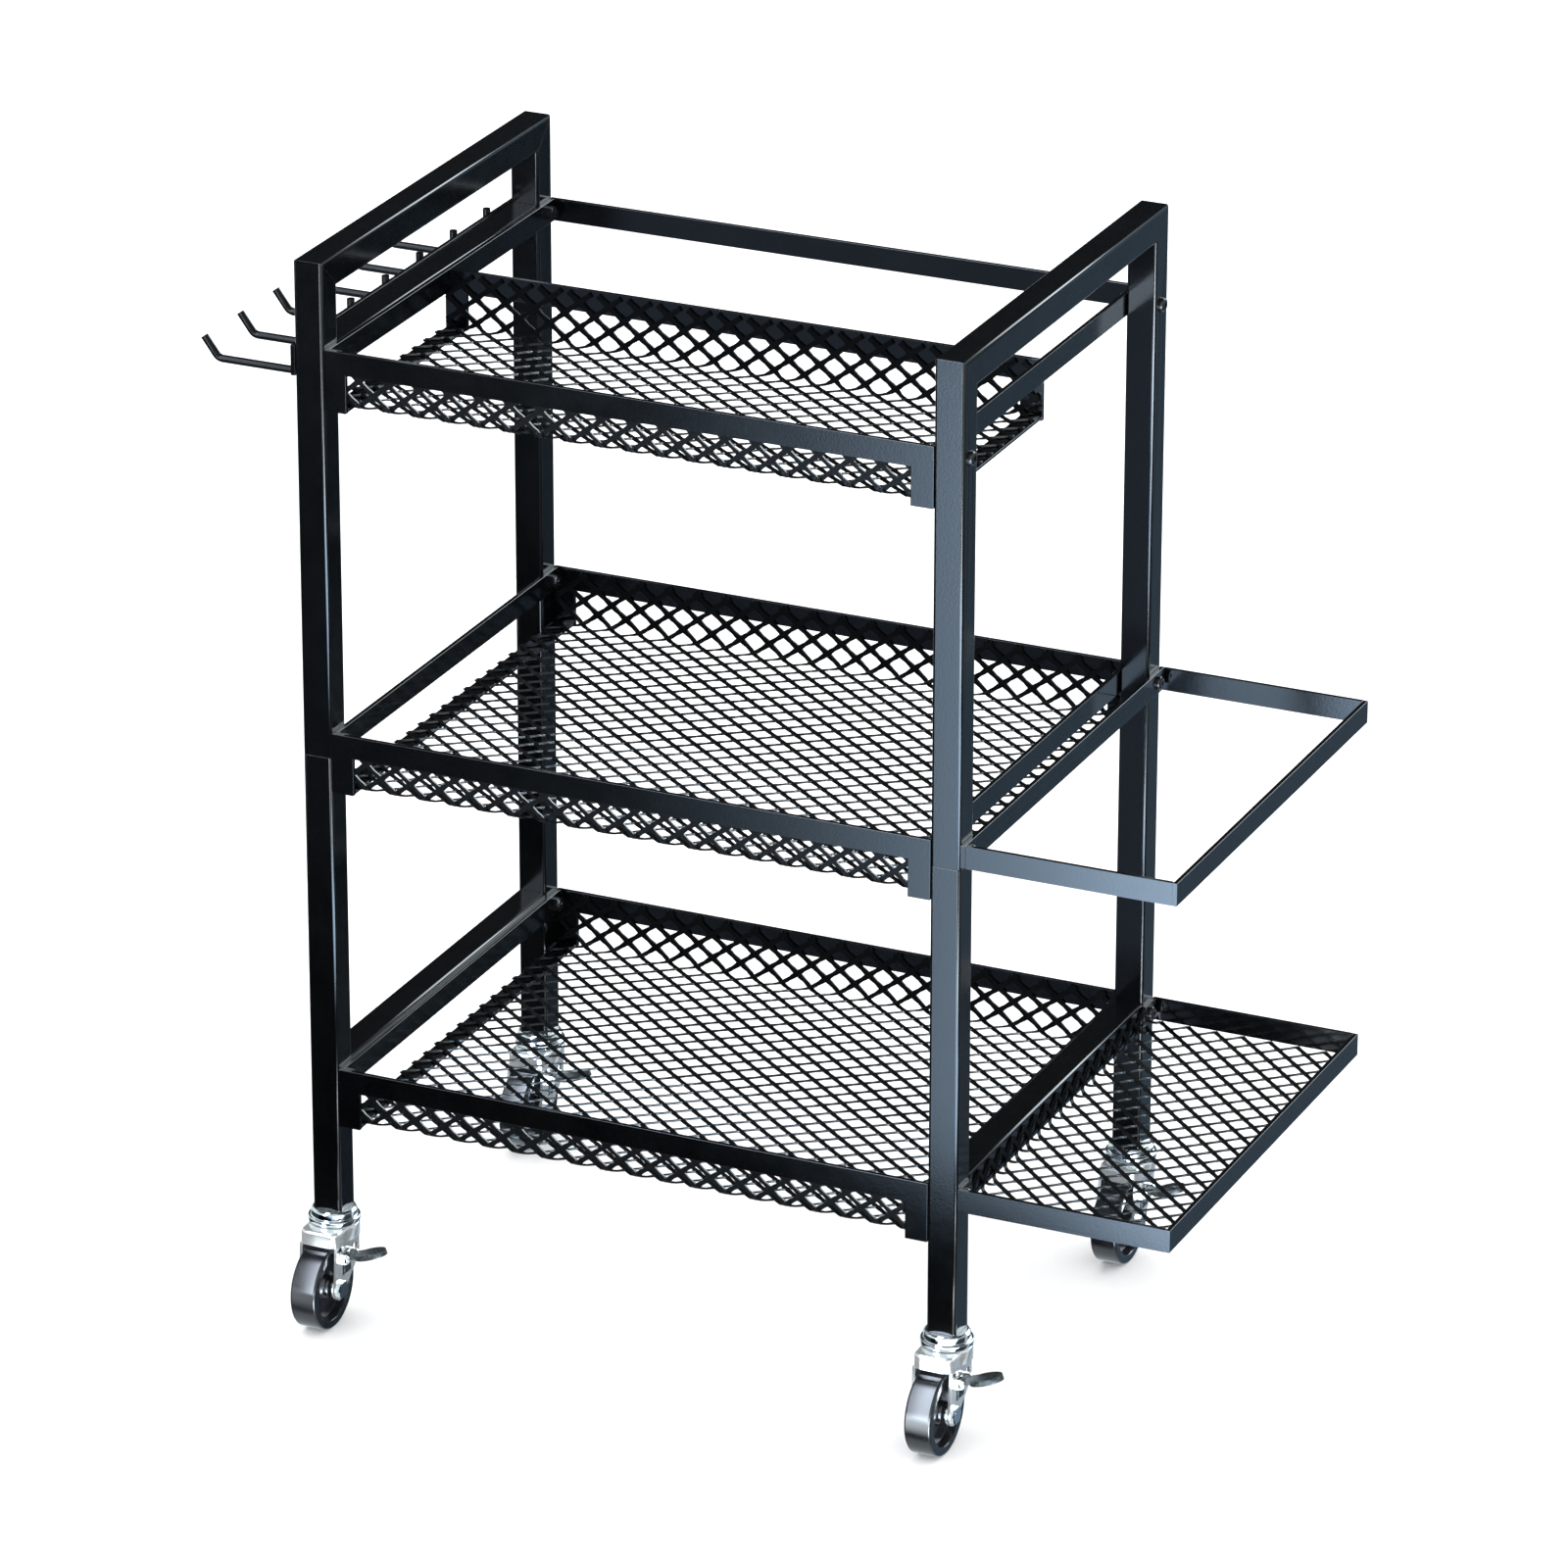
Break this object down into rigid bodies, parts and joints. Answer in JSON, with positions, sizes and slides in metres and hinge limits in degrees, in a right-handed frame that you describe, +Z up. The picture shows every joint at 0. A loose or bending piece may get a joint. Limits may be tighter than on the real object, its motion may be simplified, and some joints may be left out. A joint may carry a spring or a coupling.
{
  "type": "tool cart",
  "caption": "Three-tier rolling tool cart with a square-tube frame, expanded-metal trays, a side hook rail, a side hoop and shelf, and braked swivel casters.",
  "frame": {"origin": "on the floor, under the middle of the whole cart's box, hooks and side shelf included", "axes": "+Z up, +X towards the side shelf, +Y towards the back, so the front of the cart faces -Y"},
  "size_m": [0.678, 0.367, 0.7215],
  "materials": {
    "powder_coat": "semi-gloss black powder coat on steel tube, bar and wire",
    "mesh_coat": "semi-gloss black powder coat on expanded steel mesh",
    "black_bolt": "black-coated steel bolts and nuts",
    "bright_zinc": "bright plated pressed steel",
    "wheel_plastic": "glossy hard black plastic wheel",
    "lever_black": "black coated pressed steel lever",
    "socket_plastic": "moulded black nylon plug inside each leg"
  },
  "bodies": {
    "cart": {"left_frame_front_leg_lower": "powder_coat", "left_frame_front_leg_upper": "powder_coat", "left_frame_rear_leg_lower": "powder_coat", "left_frame_rear_leg_upper": "powder_coat", "left_frame_top_rail": "powder_coat", "left_frame_low_rail": "powder_coat", "right_frame_front_leg_lower": "powder_coat", "right_frame_front_leg_upper": "powder_coat", "right_frame_rear_leg_lower": "powder_coat", "right_frame_rear_leg_upper": "powder_coat", "right_frame_top_rail": "powder_coat", "right_frame_low_rail": "powder_coat", "left_frame_hook_rail": "powder_coat", "leg_sockets": "socket_plastic", "leg_joint_plugs": "powder_coat", "bottom_tray_front_frame": "powder_coat", "bottom_tray_rear_frame": "powder_coat", "bottom_tray_end_straps": "powder_coat", "bottom_tray_floor_straps": "powder_coat", "bottom_tray_mesh": "mesh_coat", "middle_tray_front_frame": "powder_coat", "middle_tray_rear_frame": "powder_coat", "middle_tray_end_straps": "powder_coat", "middle_tray_floor_straps": "powder_coat", "middle_tray_mesh": "mesh_coat", "top_tray_front_frame": "powder_coat", "top_tray_rear_frame": "powder_coat", "top_tray_end_straps": "powder_coat", "top_tray_floor_straps": "powder_coat", "top_tray_mesh": "mesh_coat", "back_top_bar": "powder_coat", "side_hoop_long_bars": "powder_coat", "side_hoop_end_bars": "powder_coat", "side_shelf_outer_bar": "powder_coat", "side_shelf_end_bars": "powder_coat", "side_shelf_leg_tabs": "powder_coat", "side_shelf_mesh": "mesh_coat", "hook_bar": "powder_coat", "side_hooks": "powder_coat", "leg_bolts": "black_bolt", "leg_nuts": "black_bolt", "caster_stems": "bright_zinc"},
    "front_left_swivel": {"front_left_caster_fork": "bright_zinc", "front_left_caster_pins": "bright_zinc"},
    "front_left_wheel": {"front_left_caster_wheel": "wheel_plastic"},
    "front_left_brake": {"front_left_caster_brake_lever": "lever_black"},
    "front_right_swivel": {"front_right_caster_fork": "bright_zinc", "front_right_caster_pins": "bright_zinc"},
    "front_right_wheel": {"front_right_caster_wheel": "wheel_plastic"},
    "front_right_brake": {"front_right_caster_brake_lever": "lever_black"},
    "rear_left_swivel": {"rear_left_caster_fork": "bright_zinc", "rear_left_caster_pins": "bright_zinc"},
    "rear_left_wheel": {"rear_left_caster_wheel": "wheel_plastic"},
    "rear_left_brake": {"rear_left_caster_brake_lever": "lever_black"},
    "rear_right_swivel": {"rear_right_caster_fork": "bright_zinc", "rear_right_caster_pins": "bright_zinc"},
    "rear_right_wheel": {"rear_right_caster_wheel": "wheel_plastic"},
    "rear_right_brake": {"rear_right_caster_brake_lever": "lever_black"}
  },
  "joints": [
    {"name": "front_left_caster_swivel", "type": "hinge", "parent": "cart", "child": "front_left_swivel", "pos_m": [-0.243, -0.1365, 0.067], "axis": [0, 0, 1], "continuous": true},
    {"name": "front_left_wheel_spin", "type": "hinge", "parent": "front_left_swivel", "child": "front_left_wheel", "pos_m": [-0.243, -0.1555, 0.028], "axis": [1, 0, 0], "continuous": true},
    {"name": "front_left_brake_press", "type": "hinge", "parent": "front_left_swivel", "child": "front_left_brake", "pos_m": [-0.2266, -0.147, 0.048], "axis": [0, 1, 0], "range_deg": [0, 13]},
    {"name": "front_right_caster_swivel", "type": "hinge", "parent": "cart", "child": "front_right_swivel", "pos_m": [0.187, -0.1365, 0.067], "axis": [0, 0, 1], "continuous": true},
    {"name": "front_right_wheel_spin", "type": "hinge", "parent": "front_right_swivel", "child": "front_right_wheel", "pos_m": [0.187, -0.1555, 0.028], "axis": [1, 0, 0], "continuous": true},
    {"name": "front_right_brake_press", "type": "hinge", "parent": "front_right_swivel", "child": "front_right_brake", "pos_m": [0.2034, -0.147, 0.048], "axis": [0, 1, 0], "range_deg": [0, 13]},
    {"name": "rear_left_caster_swivel", "type": "hinge", "parent": "cart", "child": "rear_left_swivel", "pos_m": [-0.243, 0.1665, 0.067], "axis": [0, 0, 1], "continuous": true},
    {"name": "rear_left_wheel_spin", "type": "hinge", "parent": "rear_left_swivel", "child": "rear_left_wheel", "pos_m": [-0.243, 0.1475, 0.028], "axis": [1, 0, 0], "continuous": true},
    {"name": "rear_left_brake_press", "type": "hinge", "parent": "rear_left_swivel", "child": "rear_left_brake", "pos_m": [-0.2266, 0.156, 0.048], "axis": [0, 1, 0], "range_deg": [0, 13]},
    {"name": "rear_right_caster_swivel", "type": "hinge", "parent": "cart", "child": "rear_right_swivel", "pos_m": [0.187, 0.1665, 0.067], "axis": [0, 0, 1], "continuous": true},
    {"name": "rear_right_wheel_spin", "type": "hinge", "parent": "rear_right_swivel", "child": "rear_right_wheel", "pos_m": [0.187, 0.1475, 0.028], "axis": [1, 0, 0], "continuous": true},
    {"name": "rear_right_brake_press", "type": "hinge", "parent": "rear_right_swivel", "child": "rear_right_brake", "pos_m": [0.2034, 0.156, 0.048], "axis": [0, 1, 0], "range_deg": [0, 13]}
  ]
}
